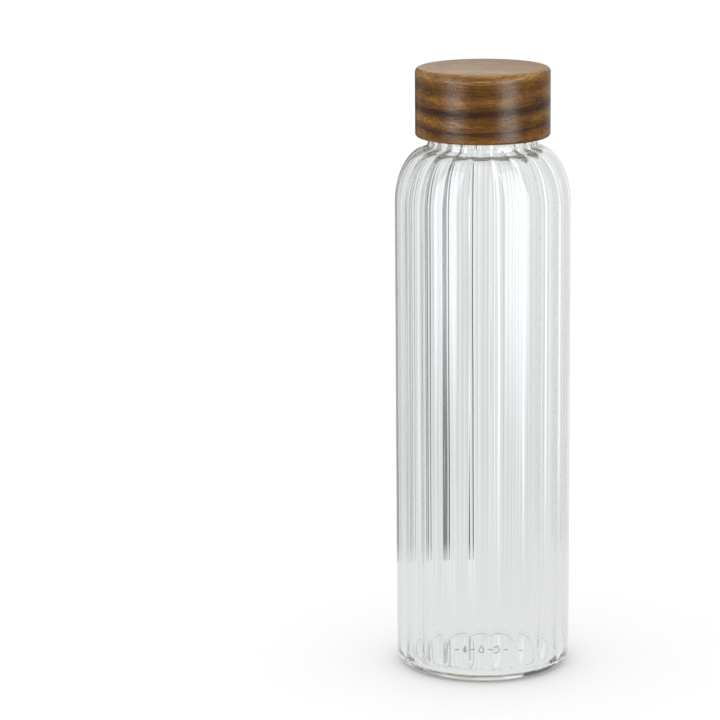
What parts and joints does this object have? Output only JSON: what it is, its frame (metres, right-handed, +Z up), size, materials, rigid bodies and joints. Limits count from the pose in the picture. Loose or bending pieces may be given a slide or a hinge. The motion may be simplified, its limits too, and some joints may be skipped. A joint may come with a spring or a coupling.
{
  "type": "glass water bottle",
  "caption": "Tall round clear glass bottle with ribs down its inside, a rounded shoulder and a screw cap with a turned wooden shell.",
  "frame": {"origin": "centre of the base, on the surface that the bottle stands on", "axes": "+Z up along the bottle's axis, -Y is the front"},
  "size_m": [0.065, 0.065, 0.226],
  "materials": {
    "glass": "polished, clear, faintly green where it is thick",
    "wood": "oiled satin, darker growth bands",
    "liner_plastic": "satin moulded",
    "silicone": "matt translucent white"
  },
  "bodies": {
    "bottle": {"glass_body": "glass"},
    "seal": {"seal_ring": "silicone"},
    "cap": {"cap_shell": "wood", "cap_liner": "liner_plastic"}
  },
  "joints": [
    {"name": "cap_rise", "type": "slide", "parent": "bottle", "child": "seal", "axis": [0, 0, 1], "range_m": [0, 0.0201]},
    {"name": "cap_turn", "type": "hinge", "parent": "seal", "child": "cap", "pos_m": [0, 0, 0.208], "axis": [0, 0, 1], "range_deg": [0, 900]}
  ],
  "couplings": [
    {"joint": "cap_rise", "follows": "cap_turn", "m_per_rad": 0.0012732}
  ]
}
